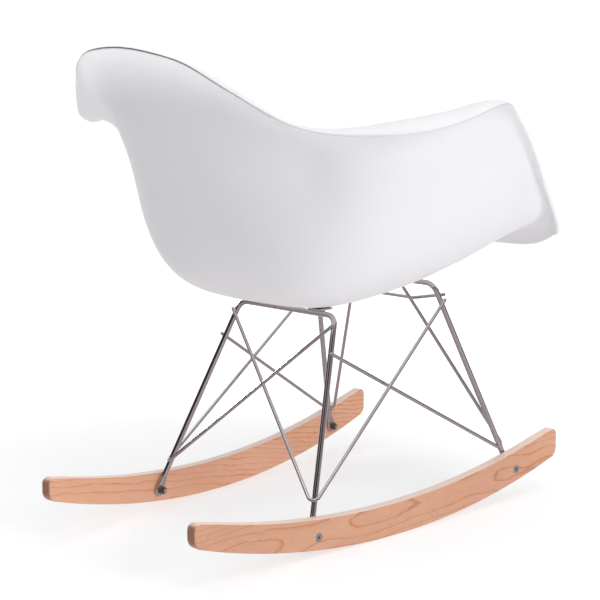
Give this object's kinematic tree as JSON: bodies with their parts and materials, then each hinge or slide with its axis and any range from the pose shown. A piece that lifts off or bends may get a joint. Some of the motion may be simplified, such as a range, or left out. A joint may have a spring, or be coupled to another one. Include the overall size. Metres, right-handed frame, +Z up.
{
  "type": "rocking chair",
  "caption": "One-piece moulded plastic armchair shell on a braced chrome rod base with curved wooden rockers.",
  "frame": {"origin": "on the floor, in the middle plane, where the rockers touch the floor", "axes": "+Z up, the sitter faces -Y, +X to the sitter's left"},
  "size_m": [0.6364, 0.7188, 0.6719],
  "materials": {
    "shell_plastic": "satin",
    "chrome_rod": "polished",
    "rocker_wood": "satin lacquer",
    "spacer_rubber": "matte",
    "insert_brass": "satin",
    "dark_steel": "blackened",
    "fastener_steel": "zinc plated"
  },
  "bodies": {
    "root": {"brace_front_left": "chrome_rod", "brace_front_right": "chrome_rod", "brace_rear_left": "chrome_rod", "brace_rear_right": "chrome_rod", "front_cross_wire": "chrome_rod", "front_leg_rod": "chrome_rod", "mount_insert_front_left": "insert_brass", "mount_insert_front_right": "insert_brass", "mount_insert_rear_left": "insert_brass", "mount_insert_rear_right": "insert_brass", "mount_screw_front_left": "fastener_steel", "mount_screw_front_right": "fastener_steel", "mount_screw_rear_left": "fastener_steel", "mount_screw_rear_right": "fastener_steel", "mount_spacer_front_left": "spacer_rubber", "mount_spacer_front_right": "spacer_rubber", "mount_spacer_rear_left": "spacer_rubber", "mount_spacer_rear_right": "spacer_rubber", "mount_tab_front_left": "chrome_rod", "mount_tab_front_right": "chrome_rod", "mount_tab_rear_left": "chrome_rod", "mount_tab_rear_right": "chrome_rod", "mount_washer_front_left": "fastener_steel", "mount_washer_front_right": "fastener_steel", "mount_washer_rear_left": "fastener_steel", "mount_washer_rear_right": "fastener_steel", "rear_leg_rod": "chrome_rod", "rocker_bolt_front_left": "fastener_steel", "rocker_bolt_front_right": "fastener_steel", "rocker_bolt_rear_left": "fastener_steel", "rocker_bolt_rear_right": "fastener_steel", "rocker_left": "rocker_wood", "rocker_nut_front_left": "dark_steel", "rocker_nut_front_right": "dark_steel", "rocker_nut_rear_left": "dark_steel", "rocker_nut_rear_right": "dark_steel", "rocker_right": "rocker_wood", "rocker_washer_front_left": "fastener_steel", "rocker_washer_front_right": "fastener_steel", "rocker_washer_rear_left": "fastener_steel", "rocker_washer_rear_right": "fastener_steel", "seat_shell": "shell_plastic"}
  },
  "joints": []
}
